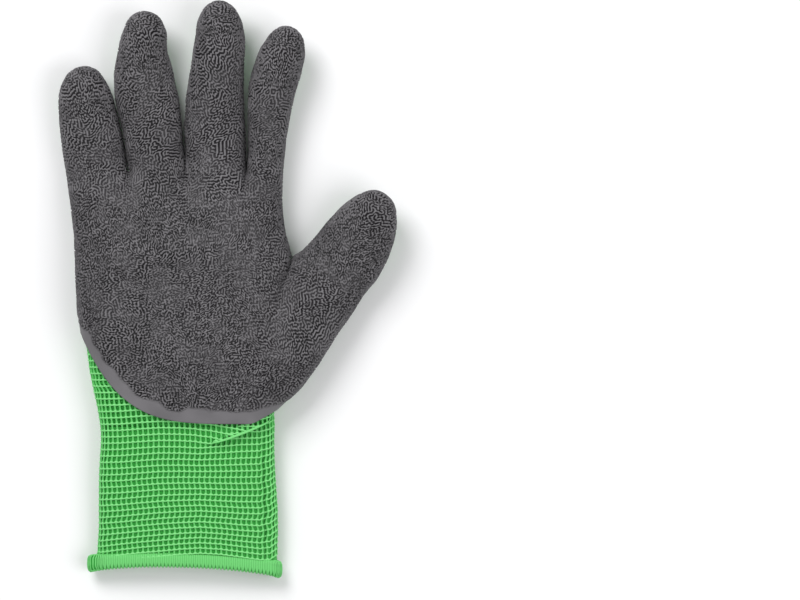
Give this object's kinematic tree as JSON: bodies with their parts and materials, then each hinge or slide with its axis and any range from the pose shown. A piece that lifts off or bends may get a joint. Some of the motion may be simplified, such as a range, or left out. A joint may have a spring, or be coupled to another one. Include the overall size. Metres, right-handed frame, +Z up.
{
  "type": "gardening glove",
  "caption": "Knitted work glove for the right hand with a crinkled latex palm and fingers, an elastic knit cuff and an overlocked hem.",
  "frame": {"origin": "on the surface that the glove lies on, under the middle of its bounding box", "axes": "+Z up out of the palm, which faces up; +Y towards the fingertips; +X towards the thumb"},
  "size_m": [0.1436, 0.2454, 0.0273],
  "materials": {
    "knit": "matte jersey knit, bright green",
    "elastic_knit": "open elastic knit, bright green",
    "hem_thread": "overlocked thread, bright green",
    "latex": "matte crinkled latex, dark grey"
  },
  "bodies": {
    "root": {"knit_palm": "knit", "knit_thumb": "knit", "knit_index": "knit", "knit_middle": "knit", "knit_ring": "knit", "knit_little": "knit", "knit_cuff": "elastic_knit", "cuff_hem": "hem_thread", "latex_coat": "latex"}
  },
  "joints": []
}
